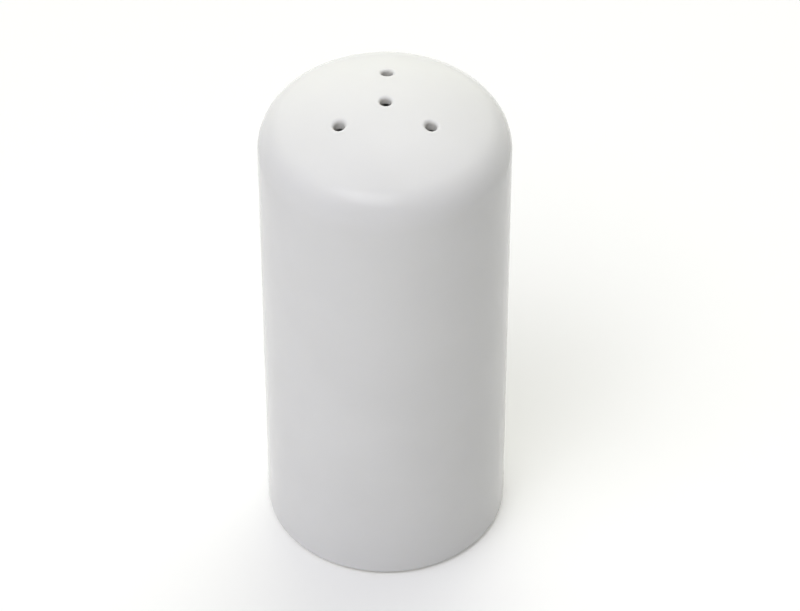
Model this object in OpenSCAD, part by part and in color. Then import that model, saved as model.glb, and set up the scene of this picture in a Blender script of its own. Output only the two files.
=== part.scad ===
// Pepper shaker: a hollow porcelain body with pour holes in its domed top,
// and a soft stopper that closes the filling hole in its base.
// Millimetres, +Z up. The origin is the middle of the circle that the foot stands on.

/* [Body] */
// Outer diameter of the body
body_d = 45; // [40:0.5:60]
// Height of the body at the middle of its dome
body_h = 97; // [75:1:130]
// Radius of the domed top
dome_r = 45; // [38:0.5:80]
// Radius of the shoulder that rounds the dome into the wall
shoulder_r = 7; // [5:0.25:10]
// Thickness of the wall
wall_t = 3; // [2:0.25:4]
// Thickness of the dome
dome_t = 2; // [1.5:0.25:4]
// Thickness of the floor round the filling hole
floor_t = 3.5; // [3:0.25:6]
// Radius of the hollow's shoulder, under the dome
hollow_shoulder_r = 4.5; // [3:0.25:7]
// Radius of the hollow's corner, where its wall meets the floor
hollow_corner_r = 4; // [1:0.25:6]

/* [Foot] */
// Height of the foot ring, which lifts the floor off the table
foot_h = 2.5; // [2:0.25:4]
// Width of the foot ring, from the wall's outside to the recess
foot_w = 5; // [4:0.25:7]
// Radius of the foot ring's outer edge
foot_edge_r = 1.5; // [0.5:0.25:2.5]
// Radius of the foot ring's inner edge
foot_lip_r = 0.8; // [0.3:0.1:1.2]
// Radius of the cove where the foot ring meets the floor
foot_cove_r = 1; // [0.4:0.1:1.2]

/* [Pour holes] */
// Diameter of each pour hole
hole_d = 2.2; // [1.5:0.1:3.5]
// Number of pour holes in the ring round the middle one
ring_holes = 3; // [3:1:6]
// Radius of the ring, measured level from the middle hole
ring_r = 9.4; // [6:0.1:12]
// Radius of the rounded rim of each pour hole
hole_rim_r = 0.4; // [0.1:0.05:0.6]

/* [Filling hole] */
// Diameter of the filling hole
fill_d = 21; // [16:0.5:24]
// Radius of the filling hole's two rims
fill_rim_r = 0.7; // [0.3:0.1:1]

/* [Stopper] */
// Overlap of the flange on the floor, outside the filling hole
flange_w = 3; // [2:0.25:4]
// Thickness of the flange
flange_t = 1.5; // [1:0.1:1.8]
// Height of the plug above the flange
plug_l = 9; // [7:0.5:14]
// Gap between the plug's root and the filling hole, which the ribs bridge
plug_gap = 0.6; // [0.3:0.1:1]
// How much narrower the plug's radius is at its tip than at its root
plug_taper = 0.7; // [0.2:0.1:1]
// Thickness of the plug's side wall, measured at its tip
plug_wall_t = 1.8; // [1.2:0.1:2.4]
// Thickness of the plug's end, over its grip pockets
plug_end_t = 1.6; // [1:0.1:2.5]
// Radius of the plug's lead-in edge
plug_edge_r = 1; // [0.4:0.1:1.2]
// Number of sealing ribs
rib_count = 2; // [1:1:3]
// Radius of each sealing rib's round section
rib_r = 0.7; // [0.5:0.1:1]
// Distance between the sealing ribs
rib_pitch = 2.6; // [2:0.1:4]
// Radial clearance between the ribs and the filling hole
rib_clearance = 0.05; // [0.02:0.01:0.1]
// Width of the web that the fingers pinch
web_w = 3; // [2:0.25:4]
// Radius of the web's rounded edge
web_edge_r = 1; // [0.4:0.1:1]
// Depth of the web's edge inside the flange
web_inset = 0.3; // [0.1:0.1:1]

/* [Hidden] */
$fn = 128;
past = 1;                       // how far a cutting tool runs past what it cuts
glaze_white = [0.93, 0.93, 0.91];
silicone_white = [0.84, 0.86, 0.85];

body_r = body_d / 2;
fill_r = fill_d / 2;
hole_r = hole_d / 2;
dome_z = body_h - dome_r;       // centre of the dome's curvature
hollow_r = body_r - wall_t;
hollow_z = foot_h + floor_t;    // top of the floor
recess_r = body_r - foot_w;
ring_tilt = asin(ring_r / dome_r);
hole_places = [                 // lean from the axis and turn about it, in degrees
    [0, 0], for (i = [0:ring_holes - 1]) [ring_tilt, i * 360 / ring_holes]
];

flange_r = fill_r + flange_w;
flange_z = foot_h - flange_t;   // underside of the flange
flange_edge_r = flange_t / 2;
plug_root_r = fill_r - plug_gap;
plug_tip_r = plug_root_r - plug_taper;
plug_z = foot_h + plug_l;       // end of the plug
pocket_r = plug_tip_r - plug_wall_t;
pocket_z = plug_z - plug_end_t; // ceiling of the grip pockets
rib_z = foot_h + floor_t / 2;   // first rib, halfway up the filling hole
rib_reach_r = fill_r - rib_clearance;

// Half outline, right of the axis, of a round hollow or body with a flat base and a domed top.
module domed_half(radius, base, corner, top, dome, shoulder) {
    dome_centre = top - dome;
    shoulder_x = radius - shoulder;
    rise = sqrt(pow(dome - shoulder, 2) - pow(shoulder_x, 2));
    shoulder_z = dome_centre + rise;
    lean = atan2(shoulder_x, rise);
    joint_x = dome * sin(lean);
    joint_z = dome_centre + dome * cos(lean);
    polygon([
        [0, base], [radius - corner, base], [radius, base + corner],
        [radius, shoulder_z], [joint_x, joint_z], [0, joint_z]
    ]);
    translate([radius - corner, base + corner]) circle(corner);
    translate([shoulder_x, shoulder_z]) circle(shoulder);
    intersection() {
        translate([0, dome_centre]) circle(dome);
        translate([0, joint_z]) square([joint_x, top - joint_z + past]);
    }
}

// Cuts the square corner at [x, z] to a quarter round. side and up say which way its material lies.
module round_corner(x, z, r, side, up) {
    translate([x, z]) mirror_by_sign(side, up) difference() {
        translate([-past, -past]) square(r + past);
        translate([r, r]) circle(r);
    }
}

// Mirrors its children left to right and top to bottom where a sign is negative.
module mirror_by_sign(side, up) {
    mirror([side < 0 ? 1 : 0, 0]) mirror([0, up < 0 ? 1 : 0]) children();
}

// Half outline of the space under the floor, inside the foot ring.
module recess_half() {
    translate([0, -past]) square([recess_r, past + foot_h - foot_cove_r]);
    square([recess_r - foot_cove_r, foot_h]);
    translate([recess_r - foot_cove_r, foot_h - foot_cove_r]) circle(foot_cove_r);
}

// Cutter for one pour hole along +Z from the dome's centre of curvature, with its rounded rim.
module pour_hole() {
    flare_r = hole_r + hole_rim_r;
    flare_z = sqrt(pow(dome_r, 2) - pow(flare_r, 2)) - hole_rim_r;
    translate([0, 0, dome_r - dome_t - past]) cylinder(r = hole_r, h = dome_t + 2 * past);
    translate([0, 0, flare_z]) rotate_extrude() difference() {
        square([flare_r, hole_rim_r + past]);
        translate([flare_r, 0]) circle(hole_rim_r);
    }
}

// The fired porcelain: wall, dome, floor and foot ring in one piece.
module shaker_body() {
    color(glaze_white) difference() {
        rotate_extrude() difference() {
            domed_half(body_r, 0, foot_edge_r, body_h, dome_r, shoulder_r);
            domed_half(hollow_r, hollow_z, hollow_corner_r, body_h - dome_t, dome_r - dome_t,
                hollow_shoulder_r);
            recess_half();
            square([fill_r, hollow_z + past]);
            round_corner(recess_r, 0, foot_lip_r, 1, 1);
            round_corner(fill_r, foot_h, fill_rim_r, 1, 1);
            round_corner(fill_r, hollow_z, fill_rim_r, 1, -1);
        }
        for (place = hole_places)
            translate([0, 0, dome_z]) rotate([-place.x, 0, place.y]) pour_hole();
    }
}

// Half outline of the stopper's outside: flange, tapered plug and sealing ribs.
module stopper_half() {
    translate([0, flange_z]) square([flange_r - flange_edge_r, flange_t]);
    translate([flange_r - flange_edge_r, flange_z + flange_edge_r]) circle(flange_edge_r);
    polygon([
        [0, foot_h], [plug_root_r, foot_h], [plug_tip_r, plug_z - plug_edge_r],
        [plug_tip_r - plug_edge_r, plug_z], [0, plug_z]
    ]);
    translate([plug_tip_r - plug_edge_r, plug_z - plug_edge_r]) circle(plug_edge_r);
    for (i = [0:rib_count - 1])
        translate([rib_reach_r - rib_r, rib_z + i * rib_pitch]) circle(rib_r);
}

// The web across the stopper's mouth, with a rounded edge to pinch.
module web() {
    web_z = flange_z + web_inset;
    translate([-web_w / 2, -pocket_r, web_z + web_edge_r])
        cube([web_w, 2 * pocket_r, pocket_z - web_z - web_edge_r]);
    translate([-web_w / 2 + web_edge_r, -pocket_r, web_z])
        cube([web_w - 2 * web_edge_r, 2 * pocket_r, web_edge_r]);
    for (side = [-1, 1])
        translate([side * (web_w / 2 - web_edge_r), 0, web_z + web_edge_r])
            rotate([90, 0, 0]) cylinder(r = web_edge_r, h = 2 * pocket_r, center = true);
}

// The moulded silicone stopper, in one piece.
module base_stopper() {
    color(silicone_white) difference() {
        rotate_extrude() stopper_half();
        difference() {
            translate([0, 0, flange_z - past]) cylinder(r = pocket_r, h = pocket_z - flange_z + past);
            web();
        }
    }
}

shaker_body();
base_stopper();
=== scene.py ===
"""Pepper shaker of glazed porcelain with a silicone stopper in its base, in a plain studio.

Every length is in metres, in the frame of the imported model: +Z up, and the origin in the middle
of the circle that the foot stands on.
"""
from math import asin, atan2, ceil, cos, degrees, exp, hypot, pi, radians, sin, sqrt

import bmesh
import bpy
import numpy as np
from mathutils import Matrix, Vector, noise
from mathutils.geometry import delaunay_2d_cdt


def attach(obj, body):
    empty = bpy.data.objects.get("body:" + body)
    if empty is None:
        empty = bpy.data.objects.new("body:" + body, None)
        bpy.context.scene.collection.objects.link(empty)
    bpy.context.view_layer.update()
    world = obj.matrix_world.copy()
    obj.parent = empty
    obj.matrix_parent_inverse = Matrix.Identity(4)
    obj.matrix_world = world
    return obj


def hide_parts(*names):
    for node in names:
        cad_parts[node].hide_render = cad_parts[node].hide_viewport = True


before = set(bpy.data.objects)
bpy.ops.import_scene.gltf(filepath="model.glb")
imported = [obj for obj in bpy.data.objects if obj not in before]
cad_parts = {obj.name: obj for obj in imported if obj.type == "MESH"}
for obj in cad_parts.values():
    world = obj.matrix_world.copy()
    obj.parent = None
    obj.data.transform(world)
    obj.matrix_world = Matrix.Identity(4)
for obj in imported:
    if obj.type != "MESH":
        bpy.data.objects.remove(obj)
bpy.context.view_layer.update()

MM = 0.001

# Body: the same sizes as the solids.
BODY_R = 22.5 * MM
BODY_H = 97.0 * MM
DOME_R = 45.0 * MM
SHOULDER_R = 7.0 * MM
WALL_T = 3.0 * MM
DOME_T = 2.0 * MM
FLOOR_T = 3.5 * MM
HOLLOW_SHOULDER_R = 4.5 * MM
HOLLOW_CORNER_R = 4.0 * MM
FOOT_H = 2.5 * MM
RECESS_R = 17.5 * MM
FOOT_EDGE_R = 1.5 * MM
FOOT_LIP_R = 0.8 * MM
FOOT_COVE_R = 1.0 * MM
FILL_R = 10.5 * MM
FILL_RIM_R = 0.7 * MM
HOLE_R = 1.1 * MM
RING_R = 9.4 * MM
RING_HOLES = 3

# Body: what the glaze adds.
GLAZE_T = 0.07 * MM             # step where the glaze ends above the bare foot
GLAZE_LIP = 0.16 * MM           # width of the glaze's rounded end
GLAZE_END = 35.0                # where it ends, in degrees down the foot's outer edge
GLAZE_WANDER = 0.22 * MM        # how far that end strays up and down
WANDER_WAVES = ((2.2, 1.0), (7.0, 0.35))    # waves of that stray: frequency and share of each
WANDER_REACH = 4 * GLAZE_WANDER # how far along the outline the stray is felt
BARE_FADE = 5 * GLAZE_LIP       # distance in which the bare foot rises to the solids' outline
SWELL = 0.035 * MM              # how far the fired wall strays from a true round
SWELL_SIZE = 15.0 * MM          # size of one swelling
SWELL_FADE = 4 * FOOT_H         # height above the foot in which the swelling grows to its full size
BEAD_T = 0.03 * MM              # height of the glaze that gathers round a pour hole
BEAD_OUT = 0.2 * MM             # how far its crest lies outside the hole's rim
BEAD_W = 0.3 * MM               # its half width
BORE_R = HOLE_R - 0.1 * MM      # radius of a pour hole inside its glaze
INNER_RIM_R = 0.25 * MM         # rounding of a pour hole's inner end
OVAL = 0.016                    # share of its radius by which a pour hole is oval
THREE_LOBED = 0.01              # the same for its three lobes
RIPPLED = 0.012                 # the same for the ripples in its bore
RIPPLE_SIZE = 0.8 * MM          # depth of one ripple, down the bore
OVAL_FADE = 0.8 * MM            # how far outside its rim the mesh is round again
COLLAR_R = 2.7 * MM             # outer edge of the mesh round a pour hole
COLLAR_IN_R = 2.2 * MM          # the same, inside the hollow
# Each pour hole is punched by hand: how far it strays from the pattern to the right and to the
# back, how far its inner end stands proud in the hollow, and the rounding of its rim. Middle,
# back, left and right hole. Adjusted by trial until each looks as it does in the photograph.
PUNCHED = (
    (0.16 * MM, 0.50 * MM, -0.35 * MM, 0.62 * MM),
    (0.40 * MM, 0.10 * MM, 0.0, 0.58 * MM),
    (0.21 * MM, -0.08 * MM, 0.06 * MM, 0.74 * MM),
    (-0.07 * MM, -0.22 * MM, 0.08 * MM, 0.60 * MM),
)
CAP_ARC = 14.0 * MM             # how far the filled mesh with the holes reaches from the middle
CAP_SPACING = 0.36 * MM         # size of its triangles
INNER_CAP_SPACING = 0.8 * MM    # the same, inside the hollow
AROUND = 256                    # steps round the body
HOLE_AROUND = 64                # steps round a pour hole

# Stopper: the same sizes as the solids.
FLANGE_R = 13.5 * MM
FLANGE_T = 1.5 * MM
PLUG_ROOT_R = 9.9 * MM
PLUG_TIP_R = 9.2 * MM
PLUG_TOP = 11.5 * MM
PLUG_EDGE_R = 1.0 * MM
RIB_R = 0.7 * MM
RIB_REACH = 10.45 * MM
RIB_HEIGHTS = (4.25 * MM, 6.85 * MM)
POCKET_R = 7.4 * MM
POCKET_TOP = 9.9 * MM
WEB_HALF = 1.5 * MM
WEB_EDGE_R = 1.0 * MM
WEB_INSET = 0.3 * MM

# Stopper: what the mould adds.
POCKET_CORNER_R = 0.8 * MM      # rounding of the corners where the web meets the side wall
MOUTH_R = 0.4 * MM              # rounding of the grip pockets' mouths, away from the web
CEILING_R = 0.6 * MM            # rounding where the pockets' walls meet their ceiling
WEB_FADE = 0.3 * MM             # half the width of the slope from the web's edge to the flange
RIB_BLEND = 0.12 * MM           # fillet between the ribs and the plug
GATE_R = 0.9 * MM               # mark of the mould's gate in the plug's end
GATE_DEPTH = 0.15 * MM
RIDGE_T = 0.03 * MM             # height of the mould's ridge round the flange
RIDGE_W = 0.1 * MM              # its half width
CLEARANCE = 0.02 * MM           # between the flange and the floor above it
STOPPER_AROUND = 192            # steps round the stopper
MOUTH_STEPS, WALL_STEPS, CEILING_STEPS = 6, 8, 5    # steps up a grip pocket
FACE_SPACING = 0.4 * MM         # size of the triangles on the stopper's underside
CEILING_SPACING = 0.7 * MM      # the same on the pockets' ceilings
GATE_SPACING = 0.2 * MM         # the same on the gate's mark


# ---------------------------------------------------------------- outlines and meshes

def line(start, end, step):
    """Points from start to end, at most step apart."""
    count = max(1, ceil(hypot(end[0] - start[0], end[1] - start[1]) / step))
    return [tuple(a + (b - a) * i / count for a, b in zip(start, end)) for i in range(count + 1)]


def arc(centre, radius, start, end, step):
    """Points on an arc, in degrees from +X towards +Z, at most step apart."""
    count = max(2, ceil(abs(radians(end - start)) * radius / step))
    angles = [radians(start + (end - start) * i / count) for i in range(count + 1)]
    return [(centre[0] + radius * cos(t), centre[1] + radius * sin(t)) for t in angles]


def chain(*runs):
    """Joins runs of points, each starting where the last one ends."""
    points = list(runs[0])
    for run in runs[1:]:
        points += run[1:]
    return points


def turns(count):
    """Angles of even steps round a circle."""
    return [2 * pi * i / count for i in range(count)]


def smooth(x):
    """Rises from 0 to 1 as x does, level at both ends."""
    x = min(1.0, max(0.0, x))
    return x * x * (3 - 2 * x)


def lengths(points):
    """Length along an outline at each of its points."""
    steps = np.hypot(*np.diff(np.array(points), axis=0).T)
    return np.concatenate([[0.0], np.cumsum(steps)])


def left_normals(points):
    """Unit normals on the left of an outline, one for each point."""
    tangent = np.gradient(np.array(points), lengths(points), axis=0)
    tangent /= np.linalg.norm(tangent, axis=1)[:, None]
    return np.stack([-tangent[:, 1], tangent[:, 0]], axis=1)


def inside(points, loop):
    """Which points lie inside a closed loop."""
    x, y = points[:, :1], points[:, 1:]
    ax, ay = loop.T
    bx, by = np.roll(loop, 1, axis=0).T
    rise = np.where(by == ay, 1.0, by - ay)
    crossed = ((ay > y) != (by > y)) & (x < (bx - ax) * (y - ay) / rise + ax)
    return crossed.sum(axis=1) % 2 == 1


def nearest(points, loop):
    """Distance from each point to a loop's nearest vertex."""
    return np.linalg.norm(points[:, None] - loop[None], axis=2).min(axis=1)


class Skin:
    """Vertices and faces of one closed mesh."""

    def __init__(self):
        self.verts, self.faces, self.kinds = [], [], []

    def add(self, points):
        """Adds vertices and returns their numbers."""
        first = len(self.verts)
        self.verts += [tuple(p) for p in points]
        return list(range(first, len(self.verts)))

    def bridge(self, ring_a, ring_b, kind=0):
        """Quads between two rings of as many vertices."""
        for i in range(len(ring_a)):
            self.faces.append((ring_a[i - 1], ring_b[i - 1], ring_b[i], ring_a[i]))
            self.kinds.append(kind)

    def tube(self, rings, kinds=None):
        """Quads from ring to ring. kinds gives the material of each step."""
        for i in range(len(rings) - 1):
            self.bridge(rings[i], rings[i + 1], kinds[i] if kinds else 0)

    def fill(self, rings, loops, spacing, place):
        """Fills the space inside rings[0] and outside the others with triangles of a size. loops
        gives the rings' plane coordinates, and place the point that a plane coordinate stands
        for."""
        loops = [np.array(loop) for loop in loops]
        low, high = loops[0].min(axis=0), loops[0].max(axis=0)
        rows = np.arange(low[1], high[1], spacing * sqrt(3) / 2)
        grid = np.array([
            (x + (i % 2) * spacing / 2, y)
            for i, y in enumerate(rows) for x in np.arange(low[0], high[0], spacing)
        ])

        def wanted(points):
            in_hole = np.any([inside(points, hole) for hole in loops[1:]], axis=0)
            return inside(points, loops[0]) & ~in_hole

        gap = 0.6 * spacing
        clear = np.min([nearest(grid, loop) for loop in loops], axis=0) > gap
        grid = grid[wanted(grid) & clear]
        coords, known, edges = [], [], []
        for ring, loop in zip(rings, loops):
            first, n = len(coords), len(ring)
            coords += [Vector(p) for p in loop]
            known += ring
            edges += [(first + i, first + (i + 1) % n) for i in range(n)]
        coords += [Vector(p) for p in grid]
        known += [None] * len(grid)
        out, _, tris, sources, _, _ = delaunay_2d_cdt(coords, edges, [], 0, spacing * 1e-4)
        index = [known[s[0]] if s and known[s[0]] is not None else self.add([place(p)])[0]
                 for p, s in zip(out, sources)]
        flat = np.array([tuple(p) for p in out])
        corners = np.array([tuple(t) for t in tris])
        for corner in corners[wanted(flat[corners].mean(axis=1))]:
            self.faces.append(tuple(index[i] for i in corner))
            self.kinds.append(0)

    def build(self, name, body, node, materials):
        """Makes the piece, which stands for a CAD node and rides on its body."""
        mesh = bpy.data.meshes.new(name)
        mesh.from_pydata(self.verts, [], self.faces)
        for material in materials:
            mesh.materials.append(material)
        mesh.polygons.foreach_set("material_index", self.kinds)
        mesh.polygons.foreach_set("use_smooth", [True] * len(self.faces))
        solid = bmesh.new()
        solid.from_mesh(mesh)
        bmesh.ops.recalc_face_normals(solid, faces=solid.faces)
        solid.to_mesh(mesh)
        solid.free()
        piece = bpy.data.objects.new(name, mesh)
        bpy.context.scene.collection.objects.link(piece)
        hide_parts(node)
        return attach(piece, body)


# ---------------------------------------------------------------- porcelain body

DOME_Z = BODY_H - DOME_R                    # centre of the dome's curvature
INNER_R = DOME_R - DOME_T                   # radius of the hollow's dome, about the same centre
CAP_TILT = degrees(CAP_ARC / DOME_R)
GLAZED, BARE, BORED = 0, 1, 2               # places of the body's materials


def swell(p):
    """How far the fired clay lies inside a true round, never outside it and not at all at the
    foot. A negative length, along the outward normal."""
    depth = SWELL * 0.5 * (noise.noise(Vector(p) / SWELL_SIZE) - 1)
    return depth * smooth((p[2] - FOOT_H) / SWELL_FADE)


def shoulder(radius, dome, rounding):
    """Centre of the shoulder's arc, and the lean of the normal where it meets the dome."""
    x = radius - rounding
    rise = sqrt((dome - rounding) ** 2 - x ** 2)
    return (x, DOME_Z + rise), degrees(atan2(x, rise))


def body_outline():
    """Outline from the top of the dome down the outside, through the base and up the hollow, and
    the two lengths along it where the glaze ends."""
    top_c, lean = shoulder(BODY_R, DOME_R, SHOULDER_R)
    hollow_r = BODY_R - WALL_T
    hollow_z = FOOT_H + FLOOR_T
    in_c, in_lean = shoulder(hollow_r, INNER_R, HOLLOW_SHOULDER_R)
    dome_c = (0, DOME_Z)
    edge_c = (BODY_R - FOOT_EDGE_R, FOOT_EDGE_R)
    lip_c = (RECESS_R + FOOT_LIP_R, FOOT_LIP_R)
    cove_c = (RECESS_R - FOOT_COVE_R, FOOT_H - FOOT_COVE_R)
    rim_c = (FILL_R + FILL_RIM_R, FOOT_H + FILL_RIM_R)
    top_rim_c = (FILL_R + FILL_RIM_R, hollow_z - FILL_RIM_R)
    corner_c = (hollow_r - HOLLOW_CORNER_R, hollow_z + HOLLOW_CORNER_R)
    outside = chain(
        arc(dome_c, DOME_R, 90 - CAP_TILT, 90 - lean, 0.5 * MM),
        arc(top_c, SHOULDER_R, 90 - lean, 0, 0.35 * MM),
        line((BODY_R, top_c[1]), (BODY_R, edge_c[1]), 1.4 * MM),
    )
    foot = arc(edge_c, FOOT_EDGE_R, 0, -90, 0.05 * MM)
    flat = line((edge_c[0], 0), (lip_c[0], 0), 0.4 * MM)
    lip = arc(lip_c, FOOT_LIP_R, -90, -180, 0.05 * MM)
    base = chain(
        line((RECESS_R, lip_c[1]), (RECESS_R, cove_c[1]), 0.4 * MM),
        arc(cove_c, FOOT_COVE_R, 0, 90, 0.12 * MM),
        line((cove_c[0], FOOT_H), (rim_c[0], FOOT_H), 0.6 * MM),
        arc(rim_c, FILL_RIM_R, -90, -180, 0.12 * MM),
        line((FILL_R, rim_c[1]), (FILL_R, top_rim_c[1]), 0.7 * MM),
        arc(top_rim_c, FILL_RIM_R, 180, 90, 0.15 * MM),
        line((top_rim_c[0], hollow_z), (corner_c[0], hollow_z), 0.8 * MM),
        arc(corner_c, HOLLOW_CORNER_R, -90, 0, 0.5 * MM),
        line((hollow_r, corner_c[1]), (hollow_r, in_c[1]), 2.5 * MM),
        arc(in_c, HOLLOW_SHOULDER_R, 0, 90 - in_lean, 0.3 * MM),
        arc(dome_c, INNER_R, 90 - in_lean, 90 - CAP_TILT, 0.8 * MM),
    )
    foot_at = lengths(outside)[-1]
    lip_at = foot_at + lengths(foot)[-1] + lengths(flat)[-1]
    ends = (foot_at + radians(GLAZE_END) * FOOT_EDGE_R, lip_at + lengths(lip)[-1] / 2)
    return chain(outside, foot, flat, lip, base), ends


def glaze_depth(s, ends):
    """How far the surface lies under the outline at length s, where the glaze ends."""
    bare = min(s - ends[0], ends[1] - s)
    if bare <= 0:
        return GLAZE_T * (1 - sqrt(1 - max(0.0, 1 + bare / GLAZE_LIP) ** 2))
    return GLAZE_T * (1 - smooth(bare / BARE_FADE))


def turned_body(skin):
    """The turned part of the body. Returns its first ring, on the dome, and its last, under it."""
    outline, ends = body_outline()
    at = lengths(outline)
    points, normals = np.array(outline), left_normals(outline)
    depth = np.array([glaze_depth(s, ends) for s in at])
    pull = [np.exp(-((at - end) / WANDER_REACH) ** 2) for end in ends]
    columns = []
    for turn in turns(AROUND):
        way = Vector((cos(turn), sin(turn), 0))
        stray = [
            GLAZE_WANDER * sum(share * noise.noise(way * waves + Vector((0, 0, seed)))
                               for waves, share in WANDER_WAVES)
            for seed in (5, 10)
        ]
        moved = at + stray[0] * pull[0] + stray[1] * pull[1]
        r, z = (np.interp(moved, at, points[:, k]) for k in (0, 1))
        nr, nz = (np.interp(moved, at, normals[:, k]) for k in (0, 1))
        r, z = r - nr * depth, z - nz * depth
        column = []
        for i in range(len(at)):
            p = Vector((r[i] * way.x, r[i] * way.y, z[i]))
            w = swell(p) if at[i] < ends[0] else 0.0
            column.append(p + Vector((nr[i] * way.x, nr[i] * way.y, nz[i])) * w)
        columns.append(column)
    rings = [skin.add([column[i] for column in columns]) for i in range(len(at))]
    middle = (at[1:] + at[:-1]) / 2
    skin.tube(rings, [BARE if ends[0] < s < ends[1] else GLAZED for s in middle])
    return rings[0], rings[-1]


def on_dome(radius, flat):
    """Direction from the dome's centre that a plane coordinate stands for: its distance from the
    middle is the length along the dome."""
    away = Vector(flat).length
    if not away:
        return Vector((0, 0, 1))
    tilt = away / radius
    return Vector((flat[0] / away * sin(tilt), flat[1] / away * sin(tilt), cos(tilt)))


def flatten(radius, way):
    """The plane coordinate of a direction from the dome's centre."""
    across = hypot(way.x, way.y)
    if not across:
        return (0, 0)
    tilt = atan2(across, way.z)
    return (radius * tilt * way.x / across, radius * tilt * way.y / across)


def hole_collar(skin, tilt, turn, proud, rounding, seed):
    """The mesh of one pour hole, from the dome down its upright bore to the hollow. tilt and turn
    say where it is on the dome, and seed makes its lobes and ripples its own. Returns its first
    and last rings with their plane coordinates."""
    rim_r = BORE_R + rounding
    in_r = BORE_R + INNER_RIM_R

    def top(r):
        return sqrt(DOME_R ** 2 - r ** 2) + BEAD_T * exp(-((r - rim_r - BEAD_OUT) / BEAD_W) ** 2)

    def under(r):
        burr = proud * (1 - smooth((r - in_r) / (COLLAR_IN_R - in_r)))
        return sqrt(INNER_R ** 2 - r ** 2) - burr

    rim_z = top(rim_r) - rounding
    in_z = under(in_r) + INNER_RIM_R
    outline = chain(
        [(r, top(r)) for r, _ in line((COLLAR_R, 0), (rim_r, 0), 0.1 * MM)],
        arc((rim_r, rim_z), rounding, 90, 180, 0.05 * MM),
        line((BORE_R, rim_z), (BORE_R, in_z), 0.25 * MM),
        arc((in_r, in_z), INNER_RIM_R, 180, 270, 0.08 * MM),
        [(r, under(r)) for r, _ in line((in_r, 0), (COLLAR_IN_R, 0), 0.2 * MM)],
    )
    # The rim is square to the dome. Under it each ring moves outward by as much as its lean
    # carries it inward, so that the bore stands upright.
    lean = Matrix.Rotation(turn, 3, "Z") @ Matrix.Rotation(-tilt, 3, "X")
    outward = Vector((-sin(turn), cos(turn), 0)) * sin(tilt)
    rings = []
    for r, z in outline:
        ring = []
        loose = 1 - smooth((r - rim_r) / OVAL_FADE)
        buried = smooth((top(rim_r) - z) / rounding)
        sink = outward * max(0.0, top(rim_r) - z)
        for t in turns(HOLE_AROUND):
            ripple = noise.noise(Vector((cos(t), sin(t), seed + z / RIPPLE_SIZE)))
            stray = OVAL * cos(2 * t + 2.1 * seed) + THREE_LOBED * cos(3 * t + 1.3 * seed)
            q = r * (1 + (stray + RIPPLED * ripple * buried) * loose)
            way = lean @ Vector((q * cos(t), q * sin(t), z))
            way = (way + sink).normalized() * way.length
            p = Vector((0, 0, DOME_Z)) + way
            ring.append(p + way.normalized() * swell(p) * (1 - buried))
        rings.append(skin.add(ring))
    skin.tube(rings, [BORED if above[0] < rim_r and below[0] <= in_r else GLAZED
                      for above, below in zip(outline, outline[1:])])
    flat = []
    for ring, radius in ((rings[0], DOME_R), (rings[-1], INNER_R)):
        ways = [Vector(skin.verts[i]) - Vector((0, 0, DOME_Z)) for i in ring]
        flat.append([flatten(radius, way.normalized()) for way in ways])
    return (rings[0], flat[0]), (rings[-1], flat[1])


def pour_holes(skin):
    """The collars of the pour holes, the middle one first."""
    pattern = [(0.0, 0.0)] + [(-RING_R * sin(t), RING_R * cos(t)) for t in turns(RING_HOLES)]
    collars = []
    for place, (right, back, proud, rounding) in zip(pattern, PUNCHED):
        x, y = place[0] + right, place[1] + back
        tilt, turn = asin(hypot(x, y) / DOME_R), atan2(-x, y)
        collars.append(hole_collar(skin, tilt, turn, proud, rounding, len(collars) + 1.0))
    return collars


def porcelain_body(materials):
    """The body. materials are those of its glaze, its bare foot and its pour holes."""
    skin = Skin()
    outer, inner = turned_body(skin)
    collars = pour_holes(skin)
    caps = ((outer, DOME_R, CAP_SPACING), (inner, INNER_R, INNER_CAP_SPACING))
    for which, (edge, radius, spacing) in enumerate(caps):
        arc_r = radius * radians(CAP_TILT)
        loops = [[(arc_r * cos(t), arc_r * sin(t)) for t in turns(AROUND)]]
        loops += [collar[which][1] for collar in collars]

        def place(flat):
            way = on_dome(radius, flat)
            p = Vector((0, 0, DOME_Z)) + way * radius
            return p + way * swell(p) * (1 - which)

        skin.fill([edge] + [collar[which][0] for collar in collars], loops, spacing, place)
    return skin.build("porcelain_body", "body", "shaker_body", materials)


# ---------------------------------------------------------------- silicone stopper

FLANGE_Z = FOOT_H - FLANGE_T
FLANGE_TOP = FOOT_H - CLEARANCE     # so that the two faces don't coincide


def plug_radius(z):
    """The tapered plug with its ribs, blended where they meet."""
    r = PLUG_ROOT_R + (PLUG_TIP_R - PLUG_ROOT_R) * (z - FOOT_H) / (PLUG_TOP - PLUG_EDGE_R - FOOT_H)
    for rib_z in RIB_HEIGHTS:
        half = RIB_R ** 2 - (z - rib_z) ** 2
        if half > 0:
            rib = RIB_REACH - RIB_R + sqrt(half)
            near = max(RIB_BLEND - abs(rib - r), 0.0) / RIB_BLEND
            r = max(r, rib) + near ** 2 * RIB_BLEND / 4
    return min(r, RIB_REACH)


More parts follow.
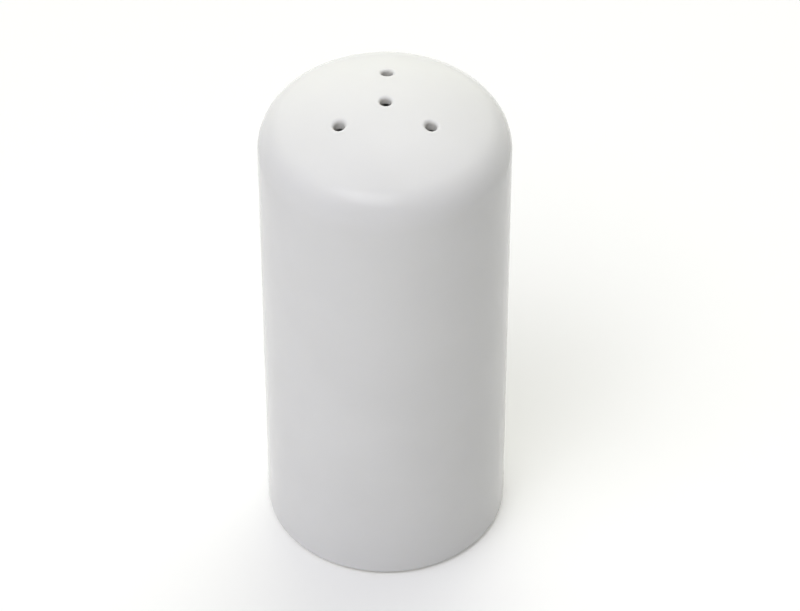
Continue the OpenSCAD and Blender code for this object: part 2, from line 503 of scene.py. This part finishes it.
def pocket_loop(side):
    """Outline of one grip pocket, with its normals, which point out of the pocket."""
    corner = (WEB_HALF + POCKET_CORNER_R,
              sqrt((POCKET_R - POCKET_CORNER_R) ** 2 - (WEB_HALF + POCKET_CORNER_R) ** 2))
    meet = degrees(atan2(corner[1], corner[0]))
    step = 0.3 * MM
    loop = chain(
        arc((0, 0), POCKET_R, -meet, meet, step),
        arc(corner, POCKET_CORNER_R, meet, 180, step / 2),
        line((WEB_HALF, corner[1]), (WEB_HALF, -corner[1]), step),
        arc((corner[0], -corner[1]), POCKET_CORNER_R, 180, 360 - meet, step / 2),
    )[:-1]
    points = np.array(loop)
    tangent = np.roll(points, -1, axis=0) - np.roll(points, 1, axis=0)
    tangent /= np.linalg.norm(tangent, axis=1)[:, None]
    normals = np.stack([tangent[:, 1], -tangent[:, 0]], axis=1)
    return points * (side, 1), normals * (side, 1)


def stopper_face(x, y):
    """Height of the stopper's underside: the flange's flat, and the web's edge set into it."""
    outside = (hypot(x, y) - POCKET_R + WEB_FADE) / (2 * WEB_FADE)
    return FLANGE_Z + WEB_INSET * (1 - smooth(outside))


def pocket(skin, side):
    """One grip pocket. Returns the outermost ring of its rounded mouth, with plane coordinates."""
    points, normals = pocket_loop(side)
    webbed = np.array([1 - smooth((abs(x) - WEB_HALF) / (2 * POCKET_CORNER_R)) for x, _ in points])
    mouth_r = MOUTH_R + (WEB_EDGE_R - MOUTH_R) * webbed
    rings = []
    for i in range(MOUTH_STEPS + 1):
        t = radians(90 - 90 * i / MOUTH_STEPS)
        edge = points + normals * (mouth_r * (1 - cos(t)))[:, None]
        if not rings:
            mouth = edge
        heights = [stopper_face(*p) + r * (1 - sin(t)) for p, r in zip(edge, mouth_r)]
        rings.append(skin.add([(x, y, z) for (x, y), z in zip(edge, heights)]))
    low, high = np.array(heights), POCKET_TOP - CEILING_R
    for i in range(1, WALL_STEPS + 1):
        z = low + (high - low) * i / WALL_STEPS
        rings.append(skin.add([(x, y, h) for (x, y), h in zip(points, z)]))
    for i in range(1, CEILING_STEPS + 1):
        t = radians(90 * i / CEILING_STEPS)
        edge = points - normals * CEILING_R * (1 - cos(t))
        rings.append(skin.add([(x, y, high + CEILING_R * sin(t)) for x, y in edge]))
    skin.tube(rings)
    skin.fill([rings[-1]], [edge], CEILING_SPACING, lambda p: (p[0], p[1], POCKET_TOP))
    return rings[0], mouth


def silicone_stopper(materials):
    """The stopper, turned about its axis, with its two grip pockets and the web between them."""
    skin = Skin()
    flange_c = (FLANGE_R - FLANGE_T / 2, (FLANGE_Z + FLANGE_TOP) / 2)
    edge_r = (FLANGE_TOP - FLANGE_Z) / 2
    top_of_side = PLUG_TOP - PLUG_EDGE_R
    edge_c = (PLUG_TIP_R - PLUG_EDGE_R, top_of_side)
    ridge = [(r - RIDGE_T * (1 - exp(-((z - flange_c[1]) / RIDGE_W) ** 2)), z)
             for r, z in arc(flange_c, edge_r, -90, 90, 0.08 * MM)]
    side = [(plug_radius(z), z) for _, z in line((0, FLANGE_TOP), (0, top_of_side), 0.05 * MM)]
    outline = chain(
        ridge,
        line(ridge[-1], side[0], 0.5 * MM),
        side,
        arc(edge_c, PLUG_EDGE_R, 0, 90, 0.1 * MM),
        line((edge_c[0], PLUG_TOP), (2 * GATE_R, PLUG_TOP), 0.6 * MM),
    )
    circle = [(cos(t), sin(t)) for t in turns(STOPPER_AROUND)]
    rings = [skin.add([(r * x, r * y, z) for x, y in circle]) for r, z in outline]
    skin.tube(rings)

    def loop(ring):
        return [skin.verts[i][:2] for i in ring]

    def gate(p):
        return (p[0], p[1], PLUG_TOP - GATE_DEPTH * (1 - smooth(hypot(*p) / GATE_R)))

    skin.fill([rings[-1]], [loop(rings[-1])], GATE_SPACING, gate)
    mouths = [pocket(skin, side) for side in (1, -1)]
    edges = [rings[0]] + [ring for ring, _ in mouths]
    loops = [loop(rings[0])] + [mouth for _, mouth in mouths]
    skin.fill(edges, loops, FACE_SPACING, lambda p: (p[0], p[1], stopper_face(*p)))
    return skin.build("silicone_stopper", "stopper", "base_stopper", materials)


# ---------------------------------------------------------------- materials

def surface(name, **values):
    """A Principled material with constant values on its own sockets."""
    material = bpy.data.materials.new(name)
    material.use_nodes = True
    shader = material.node_tree.nodes["Principled BSDF"]
    for socket, value in values.items():
        shader.inputs[socket.replace("_", " ")].default_value = value
    return material, shader


def grain(material, size, detail=2.0, roughness=0.5):
    """Noise in the object's own coordinates. size is that of one lump."""
    nodes, links = material.node_tree.nodes, material.node_tree.links
    where = nodes.get("where") or nodes.new("ShaderNodeTexCoord")
    where.name = "where"
    lumps = nodes.new("ShaderNodeTexNoise")
    lumps.inputs["Scale"].default_value = 1 / size
    lumps.inputs["Detail"].default_value = detail
    lumps.inputs["Roughness"].default_value = roughness
    links.new(where.outputs["Object"], lumps.inputs["Vector"])
    return lumps.outputs["Fac"]


def vary(material, factor, low, high, target, start=0.3, end=0.7):
    """Takes a socket from low to high as the factor goes from start to end."""
    nodes, links = material.node_tree.nodes, material.node_tree.links
    if isinstance(low, tuple):
        ramp = nodes.new("ShaderNodeValToRGB")
        for stop, at, colour in zip(ramp.color_ramp.elements, (start, end), (low, high)):
            stop.position, stop.color = at, (*colour, 1)
        links.new(factor, ramp.inputs["Fac"])
        links.new(ramp.outputs["Color"], target)
        return
    span = nodes.new("ShaderNodeMapRange")
    limits = {"From Min": start, "From Max": end, "To Min": low, "To Max": high}
    for socket, value in limits.items():
        span.inputs[socket].default_value = value
    links.new(factor, span.inputs["Value"])
    links.new(span.outputs["Result"], target)


def bumps(material, shader, *layers):
    """Stacks bump layers, each a factor with its depth."""
    nodes, links = material.node_tree.nodes, material.node_tree.links
    last = None
    for factor, depth in layers:
        bump = nodes.new("ShaderNodeBump")
        bump.inputs["Distance"].default_value = depth
        bump.inputs["Strength"].default_value = 1.0
        links.new(factor, bump.inputs["Height"])
        if last:
            links.new(last.outputs["Normal"], bump.inputs["Normal"])
        last = bump
    links.new(last.outputs["Normal"], shader.inputs["Normal"])


# settings that the two glazes share
GLOSSY = {
    "Specular_IOR_Level": 0.2, "Subsurface_Weight": 0.2, "Subsurface_Radius": (1.0, 0.95, 0.85),
    "Subsurface_Scale": 1.5 * MM,
}


def glaze():
    """Clear glaze over white porcelain, a little uneven in colour, gloss and height."""
    material, shader = surface("porcelain_glaze", **GLOSSY)
    vary(material, grain(material, 18 * MM, 3), (0.747, 0.744, 0.741), (0.771, 0.768, 0.764),
         shader.inputs["Base Color"])
    vary(material, grain(material, 6 * MM, 3), 0.15, 0.21, shader.inputs["Roughness"])
    bumps(material, shader, (grain(material, 2.6 * MM, 1), 0.006 * MM),
          (grain(material, 9 * MM, 1), 0.02 * MM))
    return material


def bore_glaze_painted_light_and_shade():
    """The glaze in a pour hole, with painted light and shade: its colour is lighter than the
    glaze's at the mouth, for the light there, and darker towards the inner end, for the shade deep
    in the bore.
    """
    material, shader = surface("bore_glaze_painted_light_and_shade", Roughness=0.3, **GLOSSY)
    nodes, links = material.node_tree.nodes, material.node_tree.links
    where = nodes.new("ShaderNodeTexCoord")
    away = nodes.new("ShaderNodeVectorMath")
    away.operation = "DISTANCE"
    away.inputs[1].default_value = (0, 0, DOME_Z)
    links.new(where.outputs["Object"], away.inputs[0])
    # painted light and shade: lighter than the glaze at the hole's mouth, darker down the bore
    vary(material, away.outputs["Value"], (0.66, 0.65, 0.63), (0.80, 0.797, 0.792),
         shader.inputs["Base Color"], INNER_R + 0.3 * MM, DOME_R - 0.3 * MM)
    return material


def bisque():
    """The bare clay of the foot ring, matt and gritty."""
    material, shader = surface("bare_porcelain", IOR=1.45)
    vary(material, grain(material, 1.1 * MM, 5, 0.65), (0.70, 0.675, 0.62), (0.78, 0.765, 0.72),
         shader.inputs["Base Color"])
    vary(material, grain(material, 0.5 * MM, 3), 0.78, 0.95, shader.inputs["Roughness"])
    bumps(material, shader, (grain(material, 0.22 * MM, 4, 0.7), 0.03 * MM))
    return material


def silicone():
    """Frosted translucent white silicone."""
    material, shader = surface(
        "frosted_silicone", IOR=1.41, Subsurface_Weight=0.75, Subsurface_Radius=(1.0, 1.0, 0.95),
        Subsurface_Scale=2.5 * MM,
    )
    vary(material, grain(material, 4 * MM, 3), (0.71, 0.74, 0.73), (0.76, 0.785, 0.775),
         shader.inputs["Base Color"])
    vary(material, grain(material, 1.5 * MM, 4), 0.38, 0.52, shader.inputs["Roughness"])
    bumps(material, shader, (grain(material, 0.16 * MM, 2), 0.008 * MM))
    return material


porcelain_body([glaze(), bisque(), bore_glaze_painted_light_and_shade()])
silicone_stopper([silicone()])


# ---------------------------------------------------------------- studio

# the camera's lens and sensor in millimetres, and its place round its target, from a
# least-squares fit to the photograph's outline and pour holes
CAMERA_LENS = 171.65
CAMERA_SENSOR = 36.0
CAMERA_ELEVATION = 43.33
CAMERA_DISTANCE = 0.6991
CAMERA_TARGET = (0.00267, 0.0, 0.04838)

# azimuth, elevation, falloff and colour of the tent's bright patches. A least-squares fit to the
# photograph's shading chose them among tried ones, and gave their colours and the softbox's
# power. These were then rounded, adjusted and scaled together.
PATCHES = (
    (0, 90, 5, (0.405, 0.405, 0.415)),
    (-50, 60, 30, (3.89, 3.92, 4.17)),
    (150, 60, 20, (2.18, 2.19, 2.11)),
    (180, 45, 5, (0.926, 0.915, 0.852)),
    (180, 12, 5, (1.19, 1.23, 1.03)),
    (-60, 12, 5, (0.458, 0.458, 0.522)),
)
# azimuth, elevation, distance, size and power of the softbox
SOFTBOX = (-15, 60, 1.1, 0.6, 3.83)

FLOOR_HALF = 8.0                # half the table's width


def floor():
    """A plain pale table top, lit a little from below, as a table for product pictures is. It
    stays under the stopper, the lowest piece at every pose."""
    material, _ = surface("floor", Base_Color=(0.828, 0.826, 0.82, 1), Roughness=0.5,
                          Emission_Color=(1, 1, 1, 1), Emission_Strength=0.12)
    corners = [(FLOOR_HALF * x, FLOOR_HALF * y, 0) for x, y in ((-1, -1), (1, -1), (1, 1), (-1, 1))]
    mesh = bpy.data.meshes.new("floor")
    mesh.from_pydata(corners, [], [(0, 1, 2, 3)])
    mesh.materials.append(material)
    top = bpy.data.objects.new("floor", mesh)
    bpy.context.scene.collection.objects.link(top)
    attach(top, "stopper")


def aim(thing, place, target):
    """Puts a lamp or the camera in its place and turns it towards a target."""
    thing.location = place
    thing.rotation_mode = "QUATERNION"
    thing.rotation_quaternion = (Vector(target) - Vector(place)).to_track_quat("-Z", "Y")


def around(azimuth, elevation, distance, centre):
    """A point round the centre. Azimuth 0 is in front, at -Y, and 90 on the right, at +X."""
    a, e = radians(azimuth), radians(elevation)
    return Vector(centre) + distance * Vector((sin(a) * cos(e), -cos(a) * cos(e), sin(e)))


def softbox(name, azimuth, elevation, distance, size, power):
    """A square lamp aimed at the middle of the body."""
    lamp = bpy.data.lights.new(name, "AREA")
    lamp.shape, lamp.size, lamp.energy = "SQUARE", size, power
    light = bpy.data.objects.new(name, lamp)
    bpy.context.scene.collection.objects.link(light)
    middle = (0, 0, BODY_H / 2)
    aim(light, around(azimuth, elevation, distance, middle), middle)


def sky(patches):
    """A white tent round the table: soft bright patches that fade out smoothly."""
    world = bpy.data.worlds.new("studio")
    bpy.context.scene.world = world
    world.use_nodes = True
    nodes, links = world.node_tree.nodes, world.node_tree.links
    where = nodes.new("ShaderNodeTexCoord")
    total = None
    for azimuth, elevation, fall, colour in patches:
        facing = nodes.new("ShaderNodeVectorMath")
        facing.operation = "DOT_PRODUCT"
        facing.inputs[1].default_value = around(azimuth, elevation, 1, (0, 0, 0))
        links.new(where.outputs["Generated"], facing.inputs[0])
        value = facing.outputs["Value"]
        for operation, number in (("MAXIMUM", 0), ("POWER", fall)):
            step = nodes.new("ShaderNodeMath")
            step.operation = operation
            step.inputs[1].default_value = number
            links.new(value, step.inputs[0])
            value = step.outputs["Value"]
        glow = nodes.new("ShaderNodeVectorMath")
        glow.operation = "SCALE"
        glow.inputs[0].default_value = colour
        links.new(value, glow.inputs["Scale"])
        if total:
            both = nodes.new("ShaderNodeVectorMath")
            links.new(total, both.inputs[0])
            links.new(glow.outputs["Vector"], both.inputs[1])
            glow = both
        total = glow.outputs["Vector"]
    links.new(total, nodes["Background"].inputs["Color"])


def camera():
    """The camera, in front of the part and looking down on it."""
    lens = bpy.data.cameras.new("camera")
    lens.lens, lens.sensor_width = CAMERA_LENS, CAMERA_SENSOR
    lens.clip_start, lens.clip_end = 0.01, 50
    eye = bpy.data.objects.new("camera", lens)
    bpy.context.scene.collection.objects.link(eye)
    target = Vector(CAMERA_TARGET)
    aim(eye, around(0, CAMERA_ELEVATION, CAMERA_DISTANCE, target), target)
    bpy.context.scene.camera = eye


floor()
camera()
sky(PATCHES)
softbox("softbox", *SOFTBOX)
bpy.context.scene.view_settings.view_transform = "Standard"
